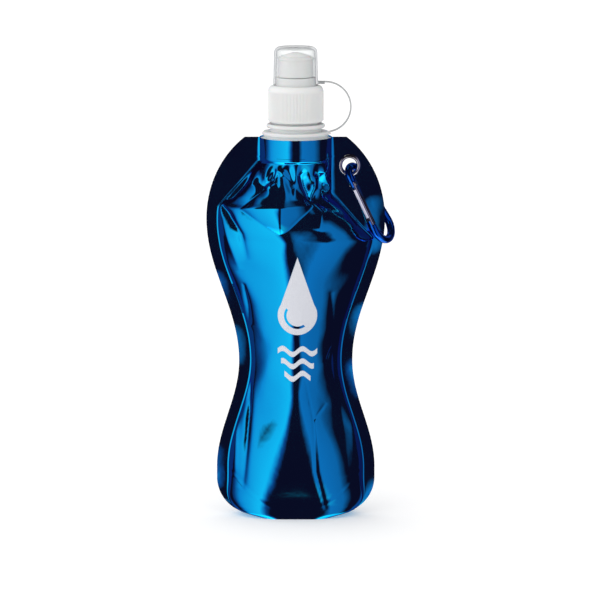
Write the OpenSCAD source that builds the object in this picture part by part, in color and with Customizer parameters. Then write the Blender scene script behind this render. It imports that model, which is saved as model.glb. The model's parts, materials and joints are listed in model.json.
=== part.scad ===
// Folding water bottle: a foil pouch with a welded spout, a push-pull cap under a
// tethered dust cover, and a small carabiner in an eyelet.
// Millimetres. +Z is up, the front faces -Y, and the origin is on the floor under the neck,
// in the plane of the side seams.

/* [Pouch outline] */
// Height of the pouch's top edge
pouch_h = 214; // [208:0.5:218]
// Half-width at the shoulders
shoulder_w = 49.9; // [48:0.1:52]
// Height of the widest point of the shoulders
shoulder_z = 168; // [164:1:172]
// How far above shoulder_z the shoulder ellipse would close
shoulder_rise = 55.9; // [54:0.1:60]
// Half-width at the waist
waist_w = 31.8; // [30:0.1:34]
// Height of the waist
waist_z = 88; // [84:1:94]
// Half-width at the hips
hip_w = 44.4; // [42:0.1:47]
// Height at which the hips reach full width
hip_z = 27; // [25:1:32]
// Radius of the bottom corners
corner_r = 21; // [16:0.5:24]

/* [Pouch depth] */
// Thickness of the foil laminate
film_t = 0.2; // [0.15:0.05:0.4]
// Width of the side seal
seal_w = 6.5; // [5:0.1:8]
// Half-depth at the foot, where it stands
foot_d = 17; // [14:0.5:19]
// Half-depth at the hips
hip_d = 21.5; // [19:0.5:23]
// Half-depth at the waist
waist_d = 19; // [16:0.5:21]
// Half-depth at the chest
chest_d = 22; // [20:0.5:23]
// Height of the gusset's middle crease above its edge
gusset_rise = 10; // [6:0.5:14]

/* [Fold] */
// Height of the line at which the empty pouch folds in half
fold_z = 90; // [86:1:96]
// Distance of the fold's axis behind the seam plane
fold_y = 24.5; // [24:0.5:28]

/* [Spout] */
// Outer radius of the weld base, inside the foil sleeve
base_r = 19.9; // [19:0.1:21]
// Height of the weld base
base_h = 9.5; // [8:0.5:11]
// Bore of the neck
neck_bore_r = 10.9; // [10:0.1:11.5]
// Outer radius of the neck under the threads
neck_r = 14.3; // [14:0.1:14.5]
// Radius of the support ring
support_r = 16.3; // [15.8:0.1:17]
// Thread pitch
pitch = 3.2; // [3:0.1:3.4]

/* [Cap] */
// Radius over the ribs
cap_r = 15.55; // [15.4:0.05:16]
// Number of grip ribs
rib_count = 120; // [60:2:160]
// Height of the ribbed cap
cap_h = 20.2; // [20:0.1:21.5]
// Outer radius of the drinking nozzle
nozzle_r = 9.8; // [9:0.1:10.2]
// Outer radius of the dust cover at its rim
cover_r = 12.45; // [12.3:0.05:12.8]

/* [Eyelet and carabiner] */
// Distance of the eyelet from the neck axis
eyelet_x = 30; // [29:0.5:31]
// Height of the eyelet
eyelet_z = 198; // [196:0.5:199]
// Radius of the eyelet's hole
eyelet_r = 4; // [3.8:0.1:4.2]
// Radius of the eyelet's flange
eyelet_flange_r = 6.35; // [6.2:0.05:6.6]
// Diameter of the carabiner's rod
rod_d = 4.4; // [4:0.1:4.4]
// Overall length of the carabiner
carabiner_l = 50; // [48:0.5:52]
// Lean of the carabiner from straight down
carabiner_lean = 28; // [28:0.5:32]
// Turn of the carabiner about its long axis, from lying flat on the pouch
carabiner_turn = 60; // [56:1:70]

/* [Hidden] */
$fn = 64;

// heights that follow from one another, from the pouch's top edge up
weld_z = pouch_h - 0.8 - base_h;          // underside of the weld base
base_top = pouch_h - 0.8;
collar_top = base_top + 2.3;              // the step that the tether ring lies on
collar_r = 17.9;
ring_t = 1.6;
support_z = collar_top + 3.7;             // underside of the support ring
support_t = 2.2;
cap_z = support_z + support_t + 1.2;      // underside of the cap
cap_top = cap_z + cap_h;
plate_t = 2.6;                            // the cap's top plate
seal_t = 1.2;
neck_top = cap_top - plate_t - seal_t - 0.1;
boss_h = 4.5;                             // the step that the dust cover plugs onto
nozzle_z = cap_top + boss_h + 0.3;        // underside of the nozzle
nozzle_top = nozzle_z + 13.6;
cover_top = cap_top + 21.5;
cover_wall = 1;

// the foil sleeve around the weld base
sleeve_r = base_r + 0.15;
sleeve_z = 201;                           // where the left shoulder seal meets the sleeve
eyelet_seal_drop = 19;                    // the eyelet side is sealed this much lower
shoulder_seal_slope = 0.885;              // mm outwards per mm down

// threads
root_r = 12.9;
crest_r = 13.9;
cap_bore_r = 14.3;
cap_crest_r = 13.3;
thread_z = cap_z + 5;

// the chimney that the nozzle slides on, with the plug that closes it
chimney_r = 6.5;
chimney_bore_r = 5;
bead_r = 7.05;
chimney_top = nozzle_z + 7.5;
plug_r = 2.3;
slide_gap = 0.06;

// carabiner: a pear of two arcs joined by straight sides
rod_r = rod_d / 2;
hang = 1.1;                               // the rod's centre below the eyelet's centre
top_arc_r = 5.5;
end_arc_r = 8.5;
arc_gap = carabiner_l - rod_d - top_arc_r - end_arc_r;
side_a = asin((end_arc_r - top_arc_r) / arc_gap);
side_l = sqrt(pow(arc_gap, 2) - pow(end_arc_r - top_arc_r, 2));
side_r = rod_r - 0.03;                    // the straight sides run into the bends
run_in = 0.3;
tongue_t = 1.7;
gate_w = 3.1;                             // over the gate's two side walls
gate_wall = 0.6;
gate_depth = 3.2;
gate_bend = 0.9;                          // outside radius of the gate's two bends
hinge_at = 4;                             // along the straight side from the top arc
latch_at = side_l - 4.2;
pin_r = 0.75;

foil = [0.02, 0.36, 0.82];
milky = [0.9, 0.91, 0.91];
white = [0.96, 0.96, 0.96];
clear = [0.86, 0.9, 0.92, 0.4];
steel = [0.75, 0.75, 0.75];
anodised = [0.05, 0.14, 0.6];

// ---- pouch surface ----

function ease(t) = (1 - cos(180 * max(0, min(1, t)))) / 2;
function between(z, z0, z1, v0, v1) = v0 + (v1 - v0) * ease((z - z0) / (z1 - z0));

// half-width of the pouch's cut edge at a height
function edge_x(z) =
    z > shoulder_z ? shoulder_w * sqrt(1 - pow((z - shoulder_z) / shoulder_rise, 2))
    : z > waist_z ? between(z, waist_z, shoulder_z, waist_w, shoulder_w)
    : z > hip_z ? between(z, hip_z, waist_z, hip_w, waist_w)
    : z > corner_r ? hip_w
    : hip_w - corner_r + sqrt(pow(corner_r, 2) - pow(corner_r - z, 2));

// half-depth of the pouch on its centre line
function depth(z) =
    z > 150 ? between(z, 150, sleeve_z, chest_d, sleeve_r)
    : z > waist_z ? between(z, waist_z, 150, waist_d, chest_d)
    : z > 35 ? between(z, 35, waist_z, hip_d, waist_d)
    : between(z, 0, 35, foot_d, hip_d);

// where the film leaves the flat seal, on a side whose shoulder seal starts at start_z
function seal_x(z, start_z) =
    min(edge_x(z) - 0.4 - (seal_w - 0.4) * ease(z / corner_r),
        sleeve_r + shoulder_seal_slope * max(0, start_z - z));

// 0.5 gives the round sleeve and more gives a pillow with sharper sides
function roundness(z) = 0.5 + 0.22 * ease((sleeve_z - z) / 26);

arc_steps = 20;
fin_steps = 3;

// one horizontal section of the front film: pairs of [inner point, outer point]
function section(z) =
    let (
        left = seal_x(z, sleeve_z),
        right = seal_x(z, sleeve_z - eyelet_seal_drop),
        middle = (right - left) / 2,
        half = (right + left) / 2,
        d = depth(z),
        p = roundness(z),
        edge = max(edge_x(z), right + 0.3)
    )
    concat(
        [for (i = [0 : fin_steps - 1]) fin_pair(-edge + (edge - left - film_t) * i / fin_steps, z)],
        [for (i = [0 : arc_steps]) arc_pair(-90 + 180 * i / arc_steps, middle, half, d, p, z)],
        [for (i = [1 : fin_steps]) fin_pair(right + film_t + (edge - right - film_t) * i / fin_steps, z)]
    );

function fin_pair(x, z) = [[x, 0, z], [x, -film_t, z]];

function arc_pair(a, middle, half, d, p, z) =
    let (
        c = max(cos(a), 0),
        x = middle + half * sin(a),
        y = -d * pow(c, 2 * p),
        nx = 2 * p * d * pow(max(c, 0.001), 2 * p - 1) * sin(a),
        ny = -half * c,
        n = norm([nx, ny])
    )
    [[x, y, z], [x + film_t * nx / n, min(y + film_t * ny / n, -film_t), z]];

// a closed sheet through rows of [inner, outer] pairs
module sheet(rows) {
    m = len(rows);
    n = len(rows[0]);
    inner = [for (row = rows) for (pair = row) pair[0]];
    outer = [for (row = rows) for (pair = row) pair[1]];
    o = m * n;
    function quad(a, b, c, d) = [[a, b, c], [a, c, d]];
    faces = concat(
        [for (i = [0 : m - 2]) for (j = [0 : n - 2])
            each quad(o + i * n + j, o + (i + 1) * n + j, o + (i + 1) * n + j + 1, o + i * n + j + 1)],
        [for (i = [0 : m - 2]) for (j = [0 : n - 2])
            each quad(i * n + j, i * n + j + 1, (i + 1) * n + j + 1, (i + 1) * n + j)],
        [for (j = [0 : n - 2]) each quad(j, o + j, o + j + 1, j + 1)],
        [for (j = [0 : n - 2]) let (k = (m - 1) * n + j) each quad(k, k + 1, o + k + 1, o + k)],
        [for (i = [0 : m - 2]) each quad(i * n, (i + 1) * n, o + (i + 1) * n, o + i * n)],
        [for (i = [0 : m - 2])
            each quad(i * n + n - 1, o + i * n + n - 1, o + (i + 1) * n + n - 1, (i + 1) * n + n - 1)]
    );
    polyhedron(points = concat(inner, outer), faces = faces, convexity = 6);
}

module front_film(zs) {
    sheet([for (z = zs) section(z)]);
}

function rows_between(z0, z1, count) = [for (i = [0 : count]) z0 + (z1 - z0) * i / count];

upper_rows = concat(rows_between(fold_z, 174, 18), rows_between(177, sleeve_z, 9), [205, 209, pouch_h]);
lower_rows = concat([0, 0.8, 2, 4, 7, 11, 16], rows_between(corner_r, fold_z, 15));

// the lower film, its bottom edge trimmed to the plane that it stands on
module lower_film() {
    difference() {
        front_film(lower_rows);
        translate([-hip_w, -hip_w, -1]) cube([2 * hip_w, 2 * hip_w, 1]);
    }
}

module eyelet_hole() {
    translate([eyelet_x, 0, eyelet_z]) rotate([90, 0, 0])
        cylinder(r = eyelet_r + 0.35, h = 10, center = true);
}

module front_panel_upper() {
    color(foil) difference() {
        front_film(upper_rows);
        eyelet_hole();
    }
}

module front_panel_lower() {
    color(foil) lower_film();
}

module rear_panel_upper() {
    color(foil) mirror([0, 1, 0]) difference() {
        front_film(upper_rows);
        eyelet_hole();
    }
}

module rear_panel_lower() {
    color(foil) mirror([0, 1, 0]) lower_film();
}

// the W-folded film that closes the bottom, sealed to both panels along a rising line
gusset_half = 36;
gusset_gap = 0.45;
function gusset_edge_z(x) = 3 + 21 * pow(x / gusset_half, 2);
function film_y(x, z) = depth(z) * pow(max(0, 1 - pow(x / seal_x(z, sleeve_z), 2)), roundness(z));

module bottom_gusset() {
    strips = 18;
    across = 12;
    color(foil) sheet([
        for (j = [0 : across])
            let (v = -1 + 2 * j / across)
            [for (i = [0 : strips])
                let (
                    x = gusset_half * (-1 + 2 * i / strips) * 0.98,
                    z = gusset_edge_z(x),
                    half = max(0.3, film_y(x, z) - gusset_gap),
                    up = z + min(gusset_rise, half) * (1 - v * v)
                )
                [[x, v * half, up + film_t], [x, v * half, up]]
            ]
    ]);
}

// ---- threads: runs of short arcs, each tilted to the thread's lead, as on vented necks ----

thread_arc = 50;                          // degrees of arc in every 60
mean_thread_r = (root_r + crest_r) / 2;

// puts a profile drawn in [radius, height] along a thread that starts at z, for a number of arcs
module thread(z, arcs) {
    lead_a = atan(pitch / (2 * PI * mean_thread_r));
    for (i = [0 : arcs - 1])
        translate([0, 0, z + pitch * i / 6]) rotate(60 * i) rotate([lead_a, 0, 0])
            rotate(-thread_arc / 2) rotate_extrude(angle = thread_arc) children();
}

// ---- spout ----

module spout() {
    color(milky) {
        rotate_extrude() difference() {
            union() {
                translate([neck_bore_r, weld_z]) square([base_r - neck_bore_r, base_h]);
                translate([neck_bore_r, base_top - 1])
                    square([collar_r - neck_bore_r, 1 + collar_top - base_top]);
                translate([neck_bore_r, collar_top - 1])
                    square([neck_r - neck_bore_r, 1 + support_z - collar_top]);
                translate([neck_bore_r, support_z])
                    square([support_r - support_t / 2 - neck_bore_r, support_t]);
                translate([support_r - support_t / 2, support_z + support_t / 2]) circle(d = support_t);
                translate([neck_bore_r, support_z + support_t - 0.5])
                    square([root_r - neck_bore_r, neck_top - support_z - support_t + 0.5]);
            }
            // the weld base is a hollow ring with one stiffening web
            translate([neck_bore_r + 1.6, weld_z - 1]) square([base_r - neck_bore_r - 3.4, 5]);
        }
        neck_thread();
    }
}

module neck_thread() {
    inner = root_r - 0.4;
    thread(thread_z, 9) polygon([[inner, -0.95], [crest_r, -0.45], [crest_r, 0.45], [inner, 0.95]]);
}

module tether_ring() {
    lug = 3.2;
    color(milky) translate([0, 0, collar_top + 0.05]) difference() {
        union() {
            rotate_extrude() difference() {
                translate([neck_r + 0.25, 0]) square([18.6 - neck_r - 0.25, ring_t]);
                translate([18.6, ring_t]) rotate(45) square(0.9, center = true);
            }
            translate([17.5, -lug / 2, 0]) cube([2, lug, ring_t]);
        }
        // moulding notches beside the neck
        for (a = [20, 160])
            rotate(-a) translate([neck_r + 1.1, 0, ring_t]) cylinder(r = 0.55, h = 1, center = true);
    }
}

// ---- tether strap: a flat strip in an arc, from the ring up to the cover's lug ----
// It is one moulding with the ring and the cover, and bends above the cap's middle when the
// cover comes off and below it when the cap rises.

strap_r = 14;
strap_x = 16.7;
strap_z = (collar_top + ring_t + cap_top + 1.6) / 2;
strap_t = 0.8;
strap_w = 2.4;

strap_start = -80;                        // degrees from level, where it leaves the ring
strap_end = 92;
strap_split = 6;

module strap_arc(from, to) {
    translate([strap_x, 0, strap_z]) rotate([90, 0, 0]) rotate(from) rotate_extrude(angle = to - from)
        translate([strap_r - strap_t / 2, -strap_w / 2]) square([strap_t, strap_w]);
}

module tether_strap_lower() {
    color(milky) strap_arc(strap_start, strap_split);
}

module tether_strap_upper() {
    color(milky) strap_arc(strap_split, strap_end);
}

// ---- cap ----

module screw_cap() {
    color(white) {
        difference() {
            union() {
                translate([0, 0, cap_z + 0.8]) linear_extrude(cap_h - 3.8) ribbed_outline();
                rotate_extrude() {
                    polygon([
                        [0, cap_z + 0.9], [cap_r - 0.3, cap_z + 0.9], [cap_r - 0.9, cap_z], [0, cap_z]
                    ]);
                    translate([0, cap_top - 3.1]) square([cap_r - 0.3, 0.3]);
                    translate([0, cap_top - 2.8]) square([cap_r - 3.1, 2.8]);
                    translate([cap_r - 3.1, cap_top - 2.8]) circle(r = 2.8);
                    translate([0, cap_top - 1]) square([11.1, boss_h + 1]);
                    translate([0, cap_top - 1]) square([chimney_r, chimney_top - cap_top + 1]);
                }
                bead();
            }
            translate([0, 0, cap_z - 1]) cylinder(r = cap_bore_r, h = cap_h - plate_t + 1);
            translate([0, 0, cap_top - plate_t - 1]) cylinder(r = chimney_bore_r, h = 30);
        }
        valve_plug();
        cap_thread();
    }
}

module ribbed_outline() {
    step = 180 / rib_count;
    polygon([
        for (i = [0 : 2 * rib_count - 1])
            let (r = cap_r - (i % 2) * 0.28)
            [r * cos(i * step), r * sin(i * step)]
    ]);
}

// the bead that stops the nozzle from coming off the chimney
module bead() {
    translate([0, 0, chimney_top - 1]) cylinder(r = bead_r, h = 1);
}

// the centre plug and the three spokes that hold it in the chimney
module valve_plug() {
    spoke_z = cap_top - 0.5;
    translate([0, 0, spoke_z]) cylinder(r = plug_r - 0.5, h = nozzle_top - 3 - spoke_z);
    translate([0, 0, nozzle_top - 4.2]) cylinder(r = plug_r, h = 2.4);
    for (a = [0, 120, 240]) rotate(a)
        translate([0, -0.6, spoke_z]) cube([chimney_bore_r + 0.4, 1.2, 2.2]);
}

module cap_thread() {
    outer = cap_bore_r + 0.4;
    thread(thread_z - pitch / 2, 8)
        polygon([[outer, 0.6], [cap_crest_r, 0.22], [cap_crest_r, -0.22], [outer, -0.6]]);
}

module cap_seal() {
    color([0.8, 0.8, 0.78]) translate([0, 0, neck_top + 0.05]) difference() {
        cylinder(r = cap_bore_r - 0.2, h = seal_t);
        translate([0, 0, -1]) cylinder(r = neck_bore_r - 0.3, h = 4);
    }
}

module nozzle() {
    top_plate = 3.8;
    grip_z = nozzle_top - 3.4;            // middle of the rounded rim that the lips pull on
    dome_r = 14;
    color(white) rotate_extrude() difference() {
        union() {
            translate([0, nozzle_z]) square([nozzle_r, grip_z - nozzle_z]);
            translate([0, grip_z - 0.5]) square([nozzle_r + 0.5, 1]);
            translate([nozzle_r - 0.3, grip_z]) circle(r = 0.8);
            translate([0, grip_z]) square([nozzle_r - 1.5, 1.5]);
            intersection() {
                translate([0, nozzle_top - dome_r]) circle(r = dome_r);
                translate([0, grip_z]) square([nozzle_r - 0.4, 10]);
            }
        }
        translate([-1, nozzle_z - 1]) square([chimney_r + slide_gap + 1, 3]);
        translate([-1, nozzle_z + 1.3]) square([bead_r + 0.2 + 1, nozzle_top - top_plate - nozzle_z - 1.3]);
        translate([-1, nozzle_z]) square([plug_r + slide_gap + 1, 20]);
    }
}

module dust_cover() {
    top_r = cover_r - 0.45;
    corner = 3.2;
    lug_start = cover_r - 0.5;
    lug_end = strap_x - strap_r * sin(2) - 0.05;
    color(clear) {
        rotate_extrude() difference() {
            cover_outline(cover_r, top_r, cover_top, corner);
            cover_outline(cover_r - cover_wall, top_r - cover_wall, cover_top - cover_wall - 0.2,
                corner - 1);
        }
        // the lug that the strap hangs from
        translate([lug_start, -1.5, cap_top + 0.9]) cube([lug_end - lug_start, 3, 1.4]);
    }
}

module cover_outline(rim, top, height, corner) {
    polygon([[0, cap_top + 0.1], [rim, cap_top + 0.1], [top, height - corner], [0, height - corner]]);
    intersection() {
        union() {
            translate([top - corner, height - corner]) circle(r = corner);
            translate([0, height - corner]) square([top - corner, corner]);
        }
        translate([0, height - corner]) square([top + 1, corner + 1]);
    }
}

// ---- eyelet: a flanged barrel curled over a washer behind the film ----

module eyelet_place() {
    translate([eyelet_x, 0, eyelet_z]) rotate([90, 0, 0]) children();
}

flange_mid = (eyelet_r + eyelet_flange_r) / 2;
flange_tube = (eyelet_flange_r - eyelet_r) / 2;
curl_tube = 0.6;
washer_t = 0.4;
metal_t = 0.25;

module eyelet() {
    front = film_t + 0.02;
    back = film_t + 0.04 + washer_t;
    color(steel) eyelet_place() rotate_extrude() {
        difference() {
            translate([flange_mid, front]) circle(r = flange_tube);
            translate([flange_mid, front]) circle(r = flange_tube - metal_t);
            translate([0, front - 5]) square([20, 5]);
        }
        translate([eyelet_r, -back - 0.05]) square([metal_t, front + back + 0.1]);
        difference() {
            translate([eyelet_r + curl_tube, -back]) circle(r = curl_tube);
            translate([eyelet_r + curl_tube, -back]) circle(r = curl_tube - metal_t);
            translate([0, -back]) square([20, 5]);
        }
    }
}

module eyelet_washer() {
    color(steel) eyelet_place() translate([0, 0, -film_t - 0.02 - washer_t]) difference() {
        cylinder(r = eyelet_flange_r, h = washer_t);
        translate([0, 0, -1]) cylinder(r = eyelet_r + metal_t + 0.05, h = 3);
    }
}

// ---- carabiner, drawn in its own plane: X across, -Z along, gate on the -X side ----

module carabiner_place() {
    translate([eyelet_x, 0, eyelet_z]) rotate([0, -carabiner_lean, 0]) rotate([0, 0, carabiner_turn])
        translate([0, 0, -hang]) children();
}

// an arc of rod in the XZ plane, from angle a0 through sweep degrees
module rod_arc(r, z, a0, sweep) {
    translate([0, 0, z]) rotate([90, 0, 0]) rotate(a0)
        rotate_extrude(angle = sweep) translate([r, 0]) circle(r = rod_r);
}

// puts children on a straight side: side -1 is the gate's and +1 the spine's.
// Along the side is -Z, and away from the middle is -X on the gate's side.
module on_side(side) {
    translate([side * top_arc_r * cos(side_a), 0, -top_arc_r + top_arc_r * sin(side_a)])
        rotate([0, -side * side_a, 0]) children();
}

module carabiner_hook() {
    color(anodised) carabiner_place() {
        rod_arc(top_arc_r, -top_arc_r, side_a, 180 - 2 * side_a);
        rod_arc(end_arc_r, -top_arc_r - arc_gap, 180 - side_a, 180 + 2 * side_a);
        on_side(1) translate([0, 0, -side_l - run_in]) cylinder(r = side_r, h = side_l + 2 * run_in);
        on_side(-1) {
            hinge_tongue();
            latch_tongue();
        }
    }
}

module hinge_tongue() {
    shank = hinge_at - 2;
    translate([0, 0, -shank]) cylinder(r = side_r, h = shank + run_in);
    difference() {
        tongue(-hinge_at - 1.4, 3.9);
        translate([0, 0, -hinge_at]) rotate([90, 0, 0]) cylinder(r = pin_r, h = 10, center = true);
    }
}

module latch_tongue() {
    translate([0, 0, -side_l - run_in]) cylinder(r = side_r, h = side_l + run_in - latch_at - 2);
    difference() {
        tongue(-latch_at - 2.6, 3.6);
        translate([0, 0, -latch_at]) rotate([90, 0, 0]) cylinder(r = pin_r + 0.1, h = 10, center = true);
        // the mouth that the latch pin leaves by
        translate([0, -5, -latch_at - pin_r + 0.05]) cube([5, 10, 2 * pin_r - 0.1]);
    }
}

// a rod milled down to a flat tongue
module tongue(z, l) {
    intersection() {
        translate([0, 0, z]) cylinder(r = rod_r - 0.35, h = l);
        translate([-rod_r, -tongue_t / 2, z - 1]) cube([rod_d, tongue_t, l + 2]);
    }
}

// the section of the gate's folded channel: two side walls with a rounded web on the outside
module gate_channel() {
    difference() {
        gate_section(gate_bend, gate_depth / 2);
        gate_section(gate_bend - gate_wall, gate_depth);
    }
}

// a bar's section with two corners rounded about the gate's bend centres, ending at x = end
module gate_section(bend, end) {
    bend_x = gate_bend - gate_depth / 2;
    bend_y = gate_w / 2 - gate_bend;
    for (side = [-1, 1]) translate([bend_x, side * bend_y]) circle(r = bend);
    translate([bend_x - bend, -bend_y]) square([bend + 1, 2 * bend_y]);
    translate([bend_x, -bend_y - bend]) square([end - bend_x, 2 * (bend_y + bend)]);
}

// the web is cut back at both ends to clear the tongues, and has a tab folded in for the spring
module carabiner_gate() {
    wall_l = latch_at - hinge_at + 2.9;
    web_l = latch_at - hinge_at - 6;
    color(steel) carabiner_place() on_side(-1) difference() {
        union() {
            translate([0, 0, -latch_at + 3]) linear_extrude(web_l) gate_channel();
            translate([0, 0, -latch_at - 1.6]) linear_extrude(wall_l) difference() {
                gate_channel();
                translate([-gate_depth, gate_wall - gate_w / 2])
                    square([gate_depth, gate_w - 2 * gate_wall]);
            }
            translate([gate_bend - gate_depth / 2, -gate_w / 2 + 0.1, -hinge_at - 7])
                cube([gate_depth - gate_bend - 0.6, gate_w - 0.2, 0.6]);
        }
        translate([0, 0, -hinge_at]) rotate([90, 0, 0])
            cylinder(r = pin_r + 0.05, h = 10, center = true);
    }
}

module gate_rivet() {
    color(steel) carabiner_place() on_side(-1) translate([0, 0, -hinge_at]) rotate([90, 0, 0]) {
        cylinder(r = pin_r, h = gate_w + 0.2, center = true);
        for (side = [-1, 1]) translate([0, 0, side * (gate_w / 2 + 0.27)])
            cylinder(r = 1.15, h = 0.4, center = true);
    }
}

module latch_pin() {
    color(steel) carabiner_place() on_side(-1) translate([0, 0, -latch_at]) rotate([90, 0, 0])
        cylinder(r = pin_r - 0.15, h = gate_w - 2 * gate_wall - 0.02, center = true);
}

// the small coil inside the gate, between the hinge tongue and the tab
module gate_spring() {
    color(steel) carabiner_place() on_side(-1) translate([-0.1, 0, -hinge_at - 6.2])
        coil(0.6, 0.16, 0.62, 7);
}

module coil(r, wire_r, lead, turns) {
    sides = 6;
    steps = 14 * turns;
    points = [
        for (i = [0 : steps]) for (j = [0 : sides - 1])
            let (a = 360 * turns * i / steps, b = 360 * j / sides, out = r + wire_r * cos(b))
            [out * cos(a), out * sin(a), lead * turns * i / steps + wire_r * sin(b)]
    ];
    faces = concat(
        [for (i = [0 : steps - 1]) for (j = [0 : sides - 1])
            let (a = i * sides + j, b = i * sides + (j + 1) % sides)
            each [[a, a + sides, b], [b, a + sides, b + sides]]],
        [[for (j = [0 : sides - 1]) j]],
        [[for (j = [sides - 1 : -1 : 0]) steps * sides + j]]
    );
    polyhedron(points = points, faces = faces, convexity = 10);
}

front_panel_upper();
front_panel_lower();
rear_panel_upper();
rear_panel_lower();
bottom_gusset();
spout();
tether_ring();
tether_strap_lower();
tether_strap_upper();
dust_cover();
screw_cap();
cap_seal();
nozzle();
eyelet();
eyelet_washer();
carabiner_hook();
carabiner_gate();
gate_rivet();
latch_pin();
gate_spring();
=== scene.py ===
"""Folding water bottle. The foil films, their gusset and the tether strap are built here; the
moulded and metal pieces keep their CAD meshes and get materials. Lengths are in millimetres until
a mesh is made."""

import json
import math

import bpy
import numpy as np
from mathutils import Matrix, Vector


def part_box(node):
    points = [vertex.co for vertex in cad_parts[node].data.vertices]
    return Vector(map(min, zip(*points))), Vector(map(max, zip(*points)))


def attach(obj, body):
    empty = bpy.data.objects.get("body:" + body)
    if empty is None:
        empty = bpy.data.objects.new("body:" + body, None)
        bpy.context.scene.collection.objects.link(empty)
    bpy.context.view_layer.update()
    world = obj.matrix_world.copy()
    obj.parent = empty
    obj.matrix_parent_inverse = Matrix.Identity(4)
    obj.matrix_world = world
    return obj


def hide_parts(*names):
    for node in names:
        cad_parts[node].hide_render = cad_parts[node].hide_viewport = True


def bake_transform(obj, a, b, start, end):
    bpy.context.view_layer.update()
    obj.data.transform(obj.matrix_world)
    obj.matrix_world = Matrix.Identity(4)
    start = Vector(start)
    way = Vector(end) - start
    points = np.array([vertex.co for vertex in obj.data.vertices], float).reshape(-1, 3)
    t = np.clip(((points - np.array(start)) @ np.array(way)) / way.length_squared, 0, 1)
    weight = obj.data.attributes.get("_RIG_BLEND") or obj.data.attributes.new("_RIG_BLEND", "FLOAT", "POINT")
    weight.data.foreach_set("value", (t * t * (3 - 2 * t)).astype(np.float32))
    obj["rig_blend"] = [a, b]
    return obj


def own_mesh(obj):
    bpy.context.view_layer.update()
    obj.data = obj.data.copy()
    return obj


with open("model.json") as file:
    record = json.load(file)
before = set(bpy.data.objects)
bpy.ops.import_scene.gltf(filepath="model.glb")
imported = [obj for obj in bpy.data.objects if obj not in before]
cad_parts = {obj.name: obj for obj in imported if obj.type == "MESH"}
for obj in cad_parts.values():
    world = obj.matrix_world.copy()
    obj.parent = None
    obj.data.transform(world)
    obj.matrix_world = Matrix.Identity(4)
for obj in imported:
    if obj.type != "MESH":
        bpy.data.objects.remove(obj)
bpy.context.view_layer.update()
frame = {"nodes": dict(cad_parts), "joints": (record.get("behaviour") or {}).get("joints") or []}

MM = 0.001

# ---- places that come from the frame --------------------------------------------------------

fold = next(j for j in frame["joints"] if j["name"] == "pouch_fold")
FOLD_Y, FOLD_Z = fold["pos_m"][1] / MM, fold["pos_m"][2] / MM

EYELET_MIDDLE = sum(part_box("eyelet"), Vector()) / 2 / MM
POUCH_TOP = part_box("front_panel_upper")[1].z / MM

RING_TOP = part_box("tether_ring")[1].z / MM
CAP_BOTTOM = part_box("screw_cap")[0].z / MM
CAP_SKIRT = 20.2  # height of the ribbed part, below the chimney
CAP_SHOULDER = CAP_BOTTOM + CAP_SKIRT

# ---- the pouch's outline and depth, as the CAD has them -------------------------------------

# half-widths of the cut edge, and the heights they are at; the shoulders are half an ellipse
SHOULDER_W, SHOULDER_Z, SHOULDER_RISE = 49.9, 168.0, 55.9
WAIST_W, WAIST_Z = 31.8, 88.0
HIP_W, HIP_Z, CORNER_R = 44.4, 27.0, 21.0

# half-depths of the filled pouch, and the heights they are at
FOOT_D = 17.0
HIP_D, HIP_D_Z = 21.5, 35.0
WAIST_D = 19.0
CHEST_D, CHEST_Z = 22.0, 150.0
SLEEVE_R, SLEEVE_Z = 20.05, 201.0  # the round sleeve that holds the spout
FOOT_Z, FLOOR_Z = 62.0, 8.0  # below these the foot gets boxier, and then boxier still

SEAL_W, FOOT_SEAL_W = 6.5, 0.4  # width of the side seals, and what is left of them at the floor
SHOULDER_SLOPE = 0.885  # how much the seal moves outwards for each mm down from the sleeve
EYELET_SEAL_DROP = 19.0  # how much lower the seal starts on the eyelet's side


def ease(t):
    """A smooth step from 0 to 1."""
    return (1 - np.cos(np.pi * np.clip(t, 0, 1))) / 2


def between(z, z0, z1, v0, v1):
    """Goes smoothly from v0 at z0 to v1 at z1."""
    return v0 + (v1 - v0) * ease((z - z0) / (z1 - z0))


def bell(value, middle, spread):
    """1 at the middle, fading to 0 on both sides."""
    return np.exp(-(((value - middle) / spread) ** 2))


def edge_x(z):
    """Half-width of the cut edge."""
    z = np.asarray(z, float)
    shoulder = SHOULDER_W * np.sqrt(np.clip(1 - ((z - SHOULDER_Z) / SHOULDER_RISE) ** 2, 0, 1))
    corner = HIP_W - CORNER_R + np.sqrt(np.clip(CORNER_R**2 - (CORNER_R - z) ** 2, 0, None))
    return np.select(
        [z > SHOULDER_Z, z > WAIST_Z, z > HIP_Z, z > CORNER_R],
        [
            shoulder,
            between(z, WAIST_Z, SHOULDER_Z, WAIST_W, SHOULDER_W),
            between(z, HIP_Z, WAIST_Z, HIP_W, WAIST_W),
            HIP_W,
        ],
        corner,
    )


def depth(z):
    """Half-depth of the filled pouch on its middle line."""
    z = np.asarray(z, float)
    return np.select(
        [z > CHEST_Z, z > WAIST_Z, z > HIP_D_Z],
        [
            between(z, CHEST_Z, SLEEVE_Z, CHEST_D, SLEEVE_R),
            between(z, WAIST_Z, CHEST_Z, WAIST_D, CHEST_D),
            between(z, HIP_D_Z, WAIST_Z, HIP_D, WAIST_D),
        ],
        between(z, 0, HIP_D_Z, FOOT_D, HIP_D),
    )


def seal_x(z, start):
    """Where the film leaves the flat seal, on a side whose shoulder seal starts at a height."""
    z = np.asarray(z)
    side = edge_x(z) - FOOT_SEAL_W - (SEAL_W - FOOT_SEAL_W) * ease(z / CORNER_R)
    return np.minimum(side, SLEEVE_R + SHOULDER_SLOPE * np.clip(start - z, 0, None))


def roundness(z):
    """The outer power of a cross-section's curve: 0.5 is a circle's."""
    return 0.5 + 0.22 * ease((SLEEVE_Z - z) / 26)


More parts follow.
